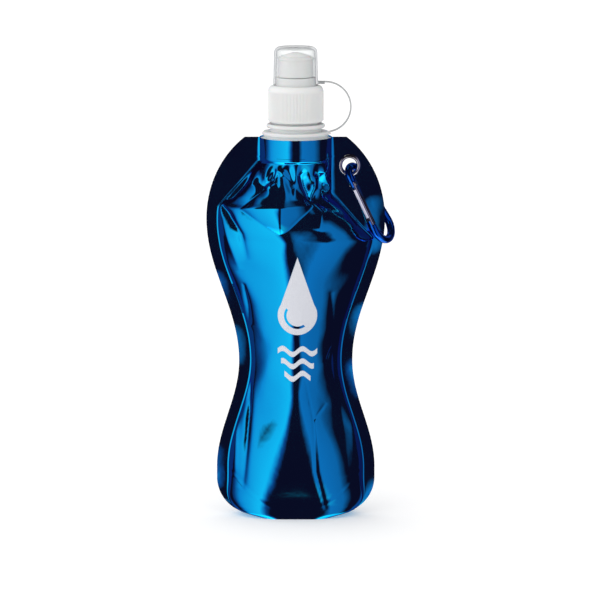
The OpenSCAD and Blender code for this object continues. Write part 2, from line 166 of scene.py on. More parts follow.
def boxiness(z):
    """The inner power: 2 is a lens, and more is flatter in the middle. The chest is a little
    flatter, and the foot is a good deal flatter, because the gusset holds it open."""
    chest = 2 + 0.9 * bell(z, 160, 13)
    return chest + 1.5 * ease((FOOT_Z - z) / FOOT_Z) + ease((FLOOR_Z - z) / FLOOR_Z)


# ---- grids and meshes -----------------------------------------------------------------------

BODY_COLUMNS = 48
FIN_COLUMNS = 8
ROW_STEP = 2.3
ARC_SAMPLES = 241


def body_row(z):
    """One row of the front film between its seals, evenly spaced along the film."""
    left, right = seal_x(z, SLEEVE_Z), seal_x(z, SLEEVE_Z - EYELET_SEAL_DROP)
    a = np.radians(np.linspace(-90, 90, ARC_SAMPLES))
    x = (right - left) / 2 + (right + left) / 2 * np.sin(a)
    y = -depth(z) * np.clip(1 - np.abs(np.sin(a)) ** boxiness(z), 0, 1) ** roundness(z)
    run = np.concatenate([[0], np.cumsum(np.hypot(np.diff(x), np.diff(y)))])
    even = np.linspace(0, run[-1], BODY_COLUMNS + 1)
    level = np.full(BODY_COLUMNS + 1, z)
    return np.stack([np.interp(even, run, x), np.interp(even, run, y), level], -1)


def body_grid(zs):
    """The front film between its seals, as one row for each height."""
    return np.array([body_row(z) for z in zs])


def new_mesh(name, verts_mm, faces):
    """An object in the scene from points in mm."""
    mesh = bpy.data.meshes.new(name)
    verts = np.asarray(verts_mm, float).reshape(-1, 3) * MM
    mesh.from_pydata([tuple(v) for v in verts], [], faces)
    mesh.update()
    obj = bpy.data.objects.new(name, mesh)
    bpy.context.scene.collection.objects.link(obj)
    return obj


def shade_smooth(mesh, angle):
    """Smooth, but for edges sharper than an angle in degrees."""
    mesh.polygons.foreach_set("use_smooth", [True] * len(mesh.polygons))
    mesh.set_sharp_from_angle(angle=math.radians(angle))


def grid_faces(rows, cols, flip=False):
    """Quads of a grid whose points are numbered row by row."""
    faces = []
    for i in range(rows - 1):
        for j in range(cols - 1):
            a = i * cols + j
            quad = (a, a + 1, a + cols + 1, a + cols)
            faces.append(quad[::-1] if flip else quad)
    return faces


def grid_normals(grid):
    """Unit normals at the points of a grid."""
    du = np.gradient(grid, axis=1)
    dv = np.gradient(grid, axis=0)
    n = np.cross(du, dv)
    return n / np.maximum(np.linalg.norm(n, axis=-1, keepdims=True), 1e-9)


def doubled(grid, axis):
    """Twice as many steps along one axis, through the same points, by a smooth four-point rule."""
    g = np.moveaxis(grid, axis, 0)
    padded = np.concatenate([2 * g[:1] - g[1:2], g, 2 * g[-1:] - g[-2:-1]])
    middle = (-padded[:-3] + 9 * padded[1:-2] + 9 * padded[2:-1] - padded[3:]) / 16
    out = np.empty((2 * len(g) - 1,) + g.shape[1:])
    out[::2] = g
    out[1::2] = middle
    return np.moveaxis(out, 0, axis)


def smoothed(field, times):
    """Evens a grid of values out along both axes."""
    for _ in range(times):
        for axis in (0, 1):
            f = np.moveaxis(field, axis, 0)
            p = np.concatenate([f[:1], f, f[-1:]])
            field = np.moveaxis((p[:-2] + 2 * p[1:-1] + p[2:]) / 4, 0, axis)
    return field


# ---- inflation ------------------------------------------------------------------------------

SIM_FRAMES = 26
SLACK = 0.012  # how much bigger the film is than the space its seals leave it
MOVE_CAP = 5.0  # the furthest that a point may move

# where the front film lies calmer than the simulation has it: the share of its crumples that
# goes, then the middle and the half-sizes of the area in x and z
CALM_AREAS = ((0.9, (-9, 183), (20, 11)), (0.7, (14, 158), (14, 14)))


def add_cloth(obj, held):
    """Cloth that is blown up from inside and held at the vertices of a group."""
    cloth = obj.modifiers.new("Cloth", "CLOTH")
    s = cloth.settings
    s.vertex_group_mass = held.name
    s.quality = 6
    s.mass = 0.15
    s.tension_stiffness = s.compression_stiffness = 30
    s.shear_stiffness = 20
    s.bending_stiffness = 1.5
    s.tension_damping = s.compression_damping = s.shear_damping = 5
    s.bending_damping = 0.5
    s.air_damping = 2
    s.effector_weights.gravity = 0
    s.use_pressure = True
    s.uniform_pressure_force = 4
    s.shrink_min = -SLACK
    cloth.collision_settings.use_collision = False


def run_simulation(obj):
    """Steps through the frames and returns where the vertices end up, in mm."""
    scene = bpy.context.scene
    scene.frame_start = 1
    scene.frame_end = SIM_FRAMES
    for f in range(1, SIM_FRAMES + 1):
        scene.frame_set(f)
    done = obj.evaluated_get(bpy.context.evaluated_depsgraph_get())
    co = np.empty(len(done.data.vertices) * 3, np.float32)
    done.data.vertices.foreach_get("co", co)
    scene.frame_set(1)
    return co.reshape(-1, 3).astype(float) / MM


def inflate(front, rear):
    """The two films blown up by a cloth simulation. They share the vertices of their side edges."""
    rows, cols = front.shape[:2]
    count = rows * cols
    front_index = np.arange(count).reshape(rows, cols)
    rear_index = front_index + count
    rear_index[:, [0, -1]] = front_index[:, [0, -1]]
    faces = grid_faces(rows, cols)
    for i in range(rows - 1):
        for j in range(cols - 1):
            quad = rear_index[[i, i + 1, i + 1, i], [j, j, j + 1, j + 1]]
            faces.append(tuple(int(k) for k in quad))
    obj = new_mesh("inflating", np.concatenate([front.reshape(-1, 3), rear.reshape(-1, 3)]), faces)
    border = np.zeros((rows, cols), bool)
    border[:, [0, -1]] = True
    border[[0, -1]] = True
    held = obj.vertex_groups.new(name="held")
    held.add([int(k) for index in (front_index, rear_index) for k in index[border]], 1.0, "REPLACE")
    add_cloth(obj, held)
    co = run_simulation(obj)
    bpy.data.objects.remove(obj, do_unlink=True)
    return co[front_index], co[rear_index]


def crumpled(body, blown, is_front):
    """The body with the simulation's crumples: fine ones round the neck, only broad ones below."""
    x, z = body[..., :1] * (1 if is_front else -1), body[..., 2:]
    calm = 1
    for share, (mid_x, mid_z), (half_x, half_z) in CALM_AREAS:
        calm = calm - share * np.exp(-(((x - mid_x) / half_x) ** 4) - ((z - mid_z) / half_z) ** 4)
    move = (blown - body) * calm
    distance = np.linalg.norm(move, axis=-1, keepdims=True)
    move *= np.minimum(1, MOVE_CAP / np.maximum(distance, 1e-9))
    fine, broad = smoothed(move, 1), smoothed(move, 10)
    near_neck = ease((z - 135) / 45)
    return body + broad * 0.8 + (fine - broad) * (0.12 + 0.5 * near_neck)

# ---- folds ----------------------------------------------------------------------------------

# Folds of the front film: where each runs, from point to point as (x, z), then its half-width and
# its height outwards. Negative is a groove.
PINCH_LEFT, PINCH_RIGHT = (-43, 177.5), (9.2, 180)
FOLDS = (
    ((PINCH_LEFT, (-38, 172), (-31, 161), (-27.5, 146)), 2.3, -1.7),
    ((PINCH_LEFT, (-36, 181), (-31, 187), (-25, 197)), 1.5, -1.3),
    ((PINCH_LEFT, (-38, 160), (-31, 140)), 2.0, 0.8),
    ((PINCH_RIGHT, (6, 187), (3, 195)), 1.5, -1.6),
    ((PINCH_RIGHT, (11, 187), (12, 194)), 1.1, 1.5),
    ((PINCH_RIGHT, (15, 186), (16, 195)), 1.6, -1.4),
    ((PINCH_RIGHT, (15, 174), (13, 164)), 2.4, 1.0),
    (((-11, 198), (-5, 194), (0, 187), (0, 181)), 2.0, 1.5),
    (((-13, 197), (-16, 191), (-20, 189), (-24, 191)), 1.6, -1.6),
    (((-11, 197), (-12, 191), (-17, 187)), 1.3, 1.5),
    (((16, 196), (20, 184), (26, 174), (33, 164)), 2.4, 1.6),
    (((19, 192), (24, 183), (30, 172)), 1.8, -1.5),
    (((-29, 132), (-27, 120), (-26, 108)), 1.6, -0.9),
    (((-26, 104), (-26.5, 60), (-30, 16)), 2.0, -1.3),
    (((-31, 84), (-33, 50), (-34, 22)), 1.5, 0.9),
    (((20, 128), (22, 84), (27, 52), (30, 24)), 3.2, -0.8),
    (((27, 96), (31, 60), (34, 24)), 1.8, 0.6),
    (((20, 96), (17, 88)), 1.0, -0.6),
    (((5.5, 79), (10, 57), (11.5, 28), (17, 5)), 0.8, -0.4),
    (((10, 57), (17, 66)), 0.9, -0.25),
)

WELD_Z = 203.0  # the lower edge of the weld between sleeve and spout
REAR_SOFTNESS = 0.7  # the rear film's folds are this much as high as the front's

GUSSET_HALF, GUSSET_RISE = 36.0, 10.0  # half-width, and how high it is folded up in the middle
GUSSET_LOW, GUSSET_SEAL_LOW = 3.0, 4.0  # the film's edge and its seal in the middle, off the floor
GUSSET_CLIMB = 21.0  # how much higher both run at the sides
GUSSET_COLUMNS, GUSSET_ROWS = 61, 37


def along(x, z, points, width, height):
    """A fold along a broken line, fading out at its ends."""
    best = np.full(x.shape, 1e9)
    place = np.zeros(x.shape)
    spans = len(points) - 1
    for k in range(spans):
        (x0, z0), (x1, z1) = points[k], points[k + 1]
        dx, dz = x1 - x0, z1 - z0
        t = np.clip(((x - x0) * dx + (z - z0) * dz) / (dx * dx + dz * dz), 0, 1)
        d = np.hypot(x - x0 - t * dx, z - z0 - t * dz)
        place = np.where(d < best, (k + t) / spans, place)
        best = np.minimum(best, d)
    fade = np.sin(np.pi * np.clip(0.06 + 0.94 * place, 0, 1)) ** 0.5
    reach = width * (0.5 + 0.7 * place)
    return height * fade * np.exp(-np.abs(best / reach) ** 1.5)


def shelf(x, z):
    """The ridge under the neck: a low pyramid with one sloping face above it and one below."""
    mid_x, height = -8.5, 7.4
    half_left, half_right = 22.5, 18.5
    rise, drop = 19.0, 15.0
    rounding = 0.0008
    u = np.sqrt(((x - mid_x) / np.where(x < mid_x, half_left, half_right)) ** 2 + rounding)
    ridge_z = 176.5 + 0.05 * (x - mid_x)
    v = np.where(z > ridge_z, (z - ridge_z) / rise, (ridge_z - z) / drop)
    return height * np.clip(1 - u**1.08 - v, 0, 1) ** 0.94


def hollow(x, z):
    """The film is drawn in round the shelf."""
    return -3.0 * np.exp(-(((x + 3) / 26) ** 2) - ((z - 187) / 14) ** 2)


def puckers(x, z):
    """Short gathers hanging from the spout's weld."""
    waves = np.sin(x * 0.72 + 1.3 * np.sin(z * 0.2))
    return 0.9 * bell(z, 192, 6.5) * waves * np.exp(-((x / 24) ** 4))


def gusset_line(x, z):
    """The seal of the bottom gusset, showing through as a shallow step."""
    d = z - (GUSSET_SEAL_LOW + GUSSET_CLIMB * (x / GUSSET_HALF) ** 2)
    return 0.05 * np.exp(-np.abs(d / 0.9) ** 1.5) - 0.04 * bell(d, 2.2, 1.6)


def weld_bead(z):
    """The fine line that the welding tool leaves round the sleeve."""
    return 0.22 * bell(z, WELD_Z, 0.45)


def shoulder_curl(x, z):
    """The loose border below the eyelet curls back."""
    return -1.6 * ease((x - 35) / 16) * ease((z - 140) / 14) * ease((188 - z) / 12)


def fold_height(x, z):
    """How far all the folds together push the film out."""
    h = shelf(x, z) + hollow(x, z) + puckers(x, z) + gusset_line(x, z)
    for points, width, height in FOLDS:
        h = h + along(x, z, points, width, height)
    return h


def folded(body, is_front):
    """The body with its folds; the rear film has them mirrored and softer."""
    side = 1 if is_front else -1
    x, z = body[..., 0] * side, body[..., 2]
    n = grid_normals(body) * side
    column = np.arange(x.shape[1])
    off_seal = ease(np.minimum(column, column[::-1]) / 5)
    h = fold_height(x, z) * off_seal * (1 if is_front else REAR_SOFTNESS)
    return body + n * h[..., None]


# ---- whole films ----------------------------------------------------------------------------

TOP_ROWS = 20
FILM_GAP = 0.15  # half the space between the two films at their seals
EYELET_CLEAR = 5.0  # radius of the hole in the film, hidden under the eyelet's rim
THIN = 0.012  # what is left of the depth when the pouch lies flat
FLAT_FROM_Z = 162.0  # the empty upper half bends back from here down to the fold
FLAT_RUN = 40.0  # the films come together over this height, down from the sleeve
FLATTEN = 18.0  # how far the rear film slides in the CAD


def with_fins(body):
    """Adds the flat sealed border on both sides of a body grid."""
    edge = edge_x(body[:, 0, 2])[:, None]
    t = np.linspace(0, 1, FIN_COLUMNS + 1)
    left, right = body[:, :1], body[:, -1:]
    fin_left = np.repeat(left, FIN_COLUMNS, 1)
    fin_right = np.repeat(right, FIN_COLUMNS, 1)
    fin_left[..., 0] = -edge + (left[..., 0] + edge) * t[:-1]
    fin_right[..., 0] = right[..., 0] + (edge - right[..., 0]) * t[1:]
    return np.concatenate([fin_left, body, fin_right], 1)


def rippled_fins(sheet):
    """The sealed border stands a little uneven, most at its cut edge."""
    x, z = sheet[..., 0], sheet[..., 2]
    outwards = np.linspace(0, 1, FIN_COLUMNS + 1)[1:]
    from_seal = np.zeros(x.shape)
    from_seal[:, :FIN_COLUMNS] = outwards[::-1]
    from_seal[:, -FIN_COLUMNS:] = outwards
    side = np.sign(x)
    wave = 0.9 * np.sin(z / 8.2 + side) + 0.2 * np.sin(z / 3.1 + 2.1)
    wave = wave + 1.2 * np.sin(z / 17.0 + 0.8 * side)
    below_eyelet = ease((176 - z) / 14)
    sheet[..., 1] += 0.42 * wave * from_seal**1.5 * below_eyelet
    sheet[..., 1] -= shoulder_curl(x, z) * (from_seal > 0)
    return sheet


def film_sheet(body, is_front):
    """A whole sheet as a fine grid of points, from the floor to the top edge."""
    fine = doubled(doubled(doubled(body, 0), 1), 0)
    fine = folded(fine, is_front)
    top_z = np.linspace(SLEEVE_Z, POUCH_TOP, TOP_ROWS + 1)[1:]
    top = doubled(body_grid(top_z), 1) * [1, 1 if is_front else -1, 1]
    fine = np.concatenate([fine, top])
    fine[..., :2] *= 1 + weld_bead(fine[..., 2:]) / SLEEVE_R
    return rippled_fins(with_fins(fine))


def film_sheets():
    """Front and rear sheets, each with whether it is the front one."""
    rows = int(round(SLEEVE_Z / ROW_STEP))
    front = body_grid(np.linspace(0, SLEEVE_Z, rows + 1))
    rear = front * [1, -1, 1]
    blown_front, blown_rear = inflate(front, rear)
    front = crumpled(front, blown_front, True)
    rear = crumpled(rear, blown_rear, False)
    return (film_sheet(front, True), True), (film_sheet(rear, False), False)


def clear_of_hole(grid, face):
    """True if a face of the grid lies outside the hole that the eyelet fills."""
    x, _, z = grid.reshape(-1, 3)[list(face)].mean(0)
    return np.hypot(x - EYELET_MIDDLE.x, z - EYELET_MIDDLE.z) > EYELET_CLEAR


def film_piece(name, grid, normals, is_front, has_hole, material):
    """A smooth piece of film that also keeps where its points are at rest, for its material."""
    rows, cols = grid.shape[:2]
    faces = grid_faces(rows, cols, flip=not is_front)
    if has_hole:
        faces = [face for face in faces if clear_of_hole(grid, face)]
    obj = new_mesh(name, grid, faces)
    mesh = obj.data
    mesh.polygons.foreach_set("use_smooth", [True] * len(mesh.polygons))
    rest = mesh.attributes.new("rest_mm", "FLOAT_VECTOR", "POINT")
    rest.data.foreach_set("vector", grid.reshape(-1).astype(np.float32))
    outwards = normals if is_front else -normals
    mesh.normals_split_custom_set_from_vertices([tuple(v) for v in outwards.reshape(-1, 3)])
    mesh.materials.append(material)
    return obj


def ride_below_fold(piece):
    """The piece goes with the lower half, and flattens as it folds."""
    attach(piece, "lower_pouch")
    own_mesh(piece)


def flat_y(z):
    """Where the empty pouch's two films lie together when it is folded."""
    t = np.clip((FLAT_FROM_Z - z) / (FLAT_FROM_Z - FOLD_Z), 0, 1)
    return FOLD_Y * (0.8 * ease(t) + 0.2 * t**2)


def flatten_with_fold(piece, grid):
    """Above the fold a film blends with the rear film's slide, by a weight that lays it flat."""
    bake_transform(piece, "pouch", "rear_film", Vector((0, 0, SLEEVE_Z * MM)), Vector((0, 0, FOLD_Z * MM)))
    y, z = grid[..., 1], grid[..., 2]
    flat = flat_y(z) + THIN * (y - flat_y(z))
    share = ease((SLEEVE_Z - z) / FLAT_RUN)
    weight = -(share * (flat - y)) / FLATTEN
    weights = piece.data.attributes["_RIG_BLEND"]
    weights.data.foreach_set("value", weight.ravel().astype(np.float32))


def build_film(material):
    """Front and rear film, each in two pieces that meet at the fold line."""
    for grid, is_front in film_sheets():
        side = "front" if is_front else "rear"
        normals = grid_normals(grid)
        grid[..., 1] += -FILM_GAP if is_front else FILM_GAP
        cut = int(np.argmin(np.abs(grid[:, 0, 2] - FOLD_Z)))
        above, below = slice(cut, None), slice(cut + 1)
        upper = film_piece(
            f"{side}_film_upper", grid[above], normals[above], is_front, True, material
        )
        lower = film_piece(
            f"{side}_film_lower", grid[below], normals[below], is_front, False, material
        )
        flatten_with_fold(upper, grid[above])
        ride_below_fold(lower)
        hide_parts(f"{side}_panel_upper")
        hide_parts(f"{side}_panel_lower")


# ---- bottom gusset --------------------------------------------------------------------------


def film_y(x, z):
    """Half-depth inside the film at a point of the front outline."""
    s = np.clip(np.abs(x) / seal_x(z, SLEEVE_Z), 0, 1)
    return depth(z) * (1 - s ** boxiness(z)) ** roundness(z)


def build_gusset(material):
    """The film folded up into the bottom, sealed to both panels along a rising line."""
    u = np.linspace(-0.98, 0.98, GUSSET_COLUMNS)[None, :]
    v = np.linspace(-1, 1, GUSSET_ROWS)[:, None]
    x = GUSSET_HALF * u + 0 * v
    z = GUSSET_LOW + GUSSET_CLIMB * (x / GUSSET_HALF) ** 2
    half = np.maximum(0.3, film_y(x, z) - 0.5)
    rise = np.minimum(GUSSET_RISE, half)
    crease = 1 - np.abs(v) ** 1.35
    buckle = 0.5 * np.sin(x / 3.1 + 2 * v) * (1 - v**2) * (1 - u**2)
    grid = np.stack([x, v * half, z + rise * crease + buckle], -1)
    piece = film_piece("gusset_film", grid, grid_normals(grid), True, False, material)
    ride_below_fold(piece)
    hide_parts("bottom_gusset")


# ---- tether strap ---------------------------------------------------------------------------

STRAP_X, STRAP_R, STRAP_T, STRAP_W = 16.7, 14.0, 0.8, 2.4  # its arc's middle and radius, its size
STRAP_Z = (RING_TOP + CAP_SHOULDER) / 2 + 0.8
STRAP_SIDES, STRAP_STEPS = 16, 36
STRAP_SHARP_ANGLE = 50
# angles of the arc at the ring, between its halves, and at the cover
STRAP_LOW, STRAP_SPLIT, STRAP_HIGH = -80, 6, 92
# heights from the arc's middle between which each half stretches
LOWER_STRETCH, UPPER_STRETCH = (-14, 2), (1.4, 14)


def rounded(value):
    """A cosine or sine swollen so that a circle becomes a rectangle with round corners."""
    return math.copysign(abs(value) ** 0.35, value)


def strap_half(name, from_angle, to_angle, bodies, stretch, material):
    """Half of the strap: a flat strip with rounded edges, bent in an arc."""
    verts, faces = [], []
    for i in range(STRAP_STEPS + 1):
        a = math.radians(from_angle + (to_angle - from_angle) * i / STRAP_STEPS)
        for k in range(STRAP_SIDES):
            b = 2 * math.pi * k / STRAP_SIDES
            r = STRAP_R + STRAP_T / 2 * rounded(math.cos(b))
            across = STRAP_W / 2 * rounded(math.sin(b))
            verts.append((STRAP_X + r * math.cos(a), across, STRAP_Z + r * math.sin(a)))
    for i in range(STRAP_STEPS):
        ring, after = i * STRAP_SIDES, (i + 1) * STRAP_SIDES
        for k in range(STRAP_SIDES):
            n = (k + 1) % STRAP_SIDES
            faces.append((ring + k, ring + n, after + n, after + k))
    faces.append(tuple(range(STRAP_SIDES)))
    faces.append(tuple(STRAP_STEPS * STRAP_SIDES + k for k in reversed(range(STRAP_SIDES))))
    piece = new_mesh(name, verts, faces)
    shade_smooth(piece.data, STRAP_SHARP_ANGLE)
    piece.data.materials.append(material)
    start, end = (Vector((STRAP_X, 0, STRAP_Z + rise)) * MM for rise in stretch)
    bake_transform(piece, *bodies, start, end)
    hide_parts(f"tether_{name}")


def build_strap(material):
    strap_half("strap_lower", STRAP_LOW, STRAP_SPLIT, ("ring", "cap"), LOWER_STRETCH, material)
    strap_half("strap_upper", STRAP_SPLIT, STRAP_HIGH, ("cap", "cover"), UPPER_STRETCH, material)


# ---- materials ------------------------------------------------------------------------------

PLASTIC_SCATTER = {"Subsurface_Weight": 0.1, "Subsurface_Scale": 0.003}

RIB_COUNT = 120
CLOUD_SCALE, GRAIN_SCALE = 60, 900  # of moulded plastic's mottling and grain, per metre
# the grey of the painted shade between the cap's ribs
GROOVE_SHADE_GREY = (0.6, 0.6, 0.6)
LUG_X = 12.2  # the dust cover's lug starts here, and is cloudier than its wall

# the print on the chest: a drop, by its round end's middle and radius and its tip's height above
# that, and waves below it, by the first one's height, their spacing and their length
MARK_X = 1.0
DROP_Z, DROP_R, DROP_TIP = 116.5, 11.0, 33.0
WAVE_Z, WAVE_STEP, WAVE_LENGTH, WAVE_COUNT = 96.0, 7.0, 11.0, 3
WAVE_SWING, WAVE_HALF = 1.6, 1.5
INK_EDGE = 0.12


class Shader:
    """A node tree being put together: a material's, or the world's."""

    def __init__(self, name):
        self.mat = bpy.data.materials.new(name)
        self.mat.use_nodes = True
        self.tree = self.mat.node_tree
        self.tree.nodes.clear()
        self.out = self.node("ShaderNodeOutputMaterial")
        self.bsdf = self.node("ShaderNodeBsdfPrincipled")
        self.link(self.bsdf.outputs["BSDF"], self.out.inputs["Surface"])

    @classmethod
    def of_world(cls, world):
        s = cls.__new__(cls)
        s.tree = world.node_tree
        s.tree.nodes.clear()
        return s

    def node(self, kind, **properties):
        n = self.tree.nodes.new(kind)
        for key, value in properties.items():
            setattr(n, key, value)
        return n

    def link(self, a, b):
        self.tree.links.new(a, b)

    def put(self, value, socket):
        """A socket takes another's output, or a plain value."""
        if hasattr(value, "is_output"):
            self.link(value, socket)
        else:
            socket.default_value = value

    def set(self, **values):
        """Inputs of the surface, plain or linked, with _ for each space in a name."""
        for key, value in values.items():
            self.put(value, self.bsdf.inputs[key.replace("_", " ")])

    def math(self, operation, a, b=0.0, c=0.0):
        n = self.node("ShaderNodeMath", operation=operation)
        for value, socket in zip((a, b, c), n.inputs):
            self.put(value, socket)
        return n.outputs[0]

    def plus(self, a, b):
        return self.math("ADD", a, b)

    def minus(self, a, b):
        return self.math("SUBTRACT", a, b)

    def times(self, a, b):
        return self.math("MULTIPLY", a, b)

    def either(self, a, b):
        """The union of two shapes that are negative inside."""
        return self.math("MINIMUM", a, b)

    def overlap(self, a, b):
        """What two shapes that are negative inside have in common."""
        return self.math("MAXIMUM", a, b)

    def absolute(self, a):
        return self.math("ABSOLUTE", a)

    def length(self, a, b):
        return self.math("SQRT", self.plus(self.math("POWER", a, 2.0), self.math("POWER", b, 2.0)))

    def noise(self, coords, scale, detail=3.0, rough=0.5):
        n = self.node("ShaderNodeTexNoise")
        n.inputs["Scale"].default_value = scale
        n.inputs["Detail"].default_value = detail
        n.inputs["Roughness"].default_value = rough
        self.link(coords, n.inputs["Vector"])
        return n.outputs["Fac"]

    def coords(self, kind="Object"):
        return self.node("ShaderNodeTexCoord").outputs[kind]

    def parts(self, vector):
        """The x, y and z of a vector."""
        n = self.node("ShaderNodeSeparateXYZ")
        self.link(vector, n.inputs[0])
        return n.outputs

    def span(self, value, low, high, to_low, to_high):
        """Takes low to high over to to_low to to_high, and goes no further."""
        n = self.node("ShaderNodeMapRange")
        self.link(value, n.inputs["Value"])
        ends = {"From Min": low, "From Max": high, "To Min": to_low, "To Max": to_high}
        for key, end in ends.items():
            n.inputs[key].default_value = end
        return n.outputs["Result"]

    def mix(self, factor, a, b):
        """From colour a to colour b. Either is three numbers or a socket."""
        n = self.node("ShaderNodeMix", data_type="RGBA")
        self.put(factor, n.inputs[0])
        for colour, socket in ((a, n.inputs[6]), (b, n.inputs[7])):
            self.put((*colour, 1) if isinstance(colour, tuple) else colour, socket)
        return n.outputs[2]

    def bump(self, height, strength, distance):
        n = self.node("ShaderNodeBump")
        n.inputs["Strength"].default_value = strength
        n.inputs["Distance"].default_value = distance
        self.link(height, n.inputs["Height"])
        self.set(Normal=n.outputs["Normal"])


def shaded(colour, share):
    """A darker colour, at a share of its brightness."""
    return tuple(c * share for c in colour)


def moulded(name, colour, roughness, **extra):
    """A moulded plastic: slightly mottled, with a grained surface."""
    s = Shader(name)
    place = s.coords()
    cloud = s.noise(place, CLOUD_SCALE, 4)
    s.set(
        Base_Color=s.mix(cloud, shaded(colour, 0.97), colour),
        Roughness=s.span(cloud, 0.3, 0.7, roughness - 0.05, roughness + 0.05),
        **extra,
    )
    s.bump(s.noise(place, GRAIN_SCALE, 3), 0.08, 0.0002)
    return s.mat


def metal(name, colour, roughness, stretch=(1, 1, 1)):
    """A metal with fine wear, drawn out along an axis where stretch is small."""
    s = Shader(name)
    drawn = s.node("ShaderNodeMapping")
    drawn.inputs["Scale"].default_value = stretch
    s.link(s.coords(), drawn.inputs["Vector"])
    wear = s.noise(drawn.outputs["Vector"], 500, 4)
    s.set(
        Base_Color=s.mix(wear, shaded(colour, 0.85), colour),
        Roughness=s.span(wear, 0.3, 0.7, roughness * 0.7, roughness * 1.3),
        Metallic=1.0,
    )
    s.bump(wear, 0.1, 0.0001)
    return s.mat


def ribbed_white():
    """The cap's white, with painted shade between its grip ribs."""
    s = Shader("ribbed_white")
    place = s.coords()
    x, y, z = s.parts(place)
    angle = s.times(s.math("ARCTAN2", y, x), RIB_COUNT)
    groove = s.span(s.math("COSINE", angle), -1, 0.2, 1, 0)
    above = s.span(z, (CAP_BOTTOM + 1) * MM, (CAP_BOTTOM + 2) * MM, 0, 1)
    below = s.span(z, (CAP_SHOULDER - 4) * MM, (CAP_SHOULDER - 3) * MM, 1, 0)
    # painted shade: the grooves between the ribs are darkened in the colour
    painted_groove_shade = s.times(s.times(groove, s.times(above, below)), 0.5)
    cloud = s.noise(place, CLOUD_SCALE, 4)
    plain = s.mix(cloud, (0.83, 0.83, 0.82), (0.87, 0.87, 0.86))
    s.set(
        Base_Color=s.mix(painted_groove_shade, plain, GROOVE_SHADE_GREY),
        Roughness=s.span(cloud, 0.3, 0.7, 0.36, 0.46),
        **PLASTIC_SCATTER,
    )
    s.bump(s.noise(place, GRAIN_SCALE, 3), 0.08, 0.0002)
    return s.mat


def clear_material():
    """Thin clear moulding: see-through face on, greyer and glossier where it turns away; the grey is partly
    the moulding's faint haze and partly painted shade that gives its edges a dark outline.
    """
    s = Shader("clear_plastic")
    place = s.coords()
    haze = s.noise(place, 80, 3)
    s.set(
        Base_Color=s.mix(haze, (0.26, 0.28, 0.29), (0.32, 0.34, 0.35)),
        Roughness=s.span(haze, 0.3, 0.7, 0.08, 0.16),
    )
    s.bump(s.noise(place, 300, 2), 0.04, 0.0002)
    through = s.node("ShaderNodeBsdfTransparent")
    through.inputs["Color"].default_value = (0.988, 0.992, 0.992, 1)
    facing = s.node("ShaderNodeLayerWeight")
    facing.inputs["Blend"].default_value = 0.5
    # painted shade: where the face turns away a grey surface takes over, so the clear edges show a dark
    # outline
    edge = s.times(s.math("POWER", facing.outputs["Facing"], 2.6), 0.6)
    lug = s.span(s.parts(place)[0], LUG_X * MM, (LUG_X + 0.6) * MM, 0, 0.6)
    share = s.plus(s.plus(edge, lug), s.span(haze, 0.3, 0.7, 0.004, 0.02))
    both = s.node("ShaderNodeMixShader")
    for source, socket in zip((share, through.outputs[0], s.bsdf.outputs[0]), both.inputs):
        s.link(source, socket)
    s.link(both.outputs[0], s.out.inputs["Surface"])
    return s.mat


def drop_shape(s, aside, across, up):
    """A drop with a curved glint cut out of it: a circle, and a cone that meets it from the tip."""
    lean = DROP_R / DROP_TIP
    out = s.length(across, up)
    circle = s.minus(out, DROP_R)
    cone = s.minus(across, s.times(s.minus(DROP_TIP, up), lean * 1.03))
    cone = s.overlap(cone, s.minus(DROP_R * lean, up))
    drop = s.either(circle, cone)
    arc = s.minus(s.absolute(s.minus(out, DROP_R * 0.62)), 0.7)
    glint = s.overlap(arc, s.plus(s.plus(aside, up), 2.0))
    return s.overlap(drop, s.times(glint, -1.0))


def water_mark(s, place):
    """A printed drop over three waves, on the front only: 1 where there is ink."""
    x, y, z = s.parts(place)
    aside = s.minus(x, MARK_X)
    across = s.absolute(aside)
    ink = drop_shape(s, aside, across, s.minus(z, DROP_Z))
    wave = s.times(s.math("SINE", s.times(aside, 2 * math.pi / WAVE_LENGTH)), WAVE_SWING)
    for k in range(WAVE_COUNT):
        height = s.minus(z, WAVE_Z - k * WAVE_STEP)
        bar = s.minus(s.absolute(s.minus(height, wave)), WAVE_HALF)
        bar = s.overlap(bar, s.minus(across, DROP_R * (1 - 0.17 * k)))
        ink = s.either(ink, bar)
    return s.times(s.span(ink, -INK_EDGE, INK_EDGE, 1, 0), s.span(y, -1, -2, 0, 1))


def foil_material():
    """Metallised film: mirror-like, faintly orange-peeled, with a white print on the front."""
    s = Shader("foil")
    place = s.node("ShaderNodeAttribute", attribute_name="rest_mm").outputs["Vector"]
    tint = s.noise(place, 0.02, 2)
    scuff = s.noise(place, 1.6, 4, 0.7)
    blue = s.mix(tint, (0.002, 0.46, 0.84), (0.004, 0.51, 0.88))
    ink = water_mark(s, place)
    # painted shade: film mirrored in film is coloured dark, so the creases along the seals stay dark
    bounces = s.node("ShaderNodeLightPath").outputs["Glossy Depth"]
    blue = s.mix(s.span(bounces, 0.4, 0.6, 0, 0.85), blue, (0.0, 0.01, 0.05))
    uneven = s.span(s.noise(place, 0.08, 3), 0.3, 0.7, 0.05, 0.09)
    rough = s.plus(uneven, s.span(scuff, 0.6, 0.8, 0, 0.05))
    s.set(
        Base_Color=s.mix(ink, blue, (0.72, 0.72, 0.76)),
        Metallic=s.minus(1.0, ink),
        Roughness=s.plus(rough, s.times(ink, 0.35)),
        Specular_Tint=(0.01, 0.4, 0.85, 1),
        # painted glow: a faint purple light given off by the film itself tints its dark parts
        Emission_Color=(0.5, 0.2, 1.0, 1),
        Emission_Strength=0.005,
    )
    peel = s.plus(s.noise(place, 0.12, 2), s.times(s.noise(place, 0.9, 2), 0.03))
    s.bump(peel, 0.2, 0.0004)
    return s.mat


# ---- moulded and metal pieces ---------------------------------------------------------------

SHARP_ANGLE = 30


def paint(node, material):
    """A CAD node keeps its mesh, and is shaded smooth up to its edges."""
    mesh = frame["nodes"][node].data
    mesh.materials.clear()
    mesh.materials.append(material)
    shade_smooth(mesh, SHARP_ANGLE)


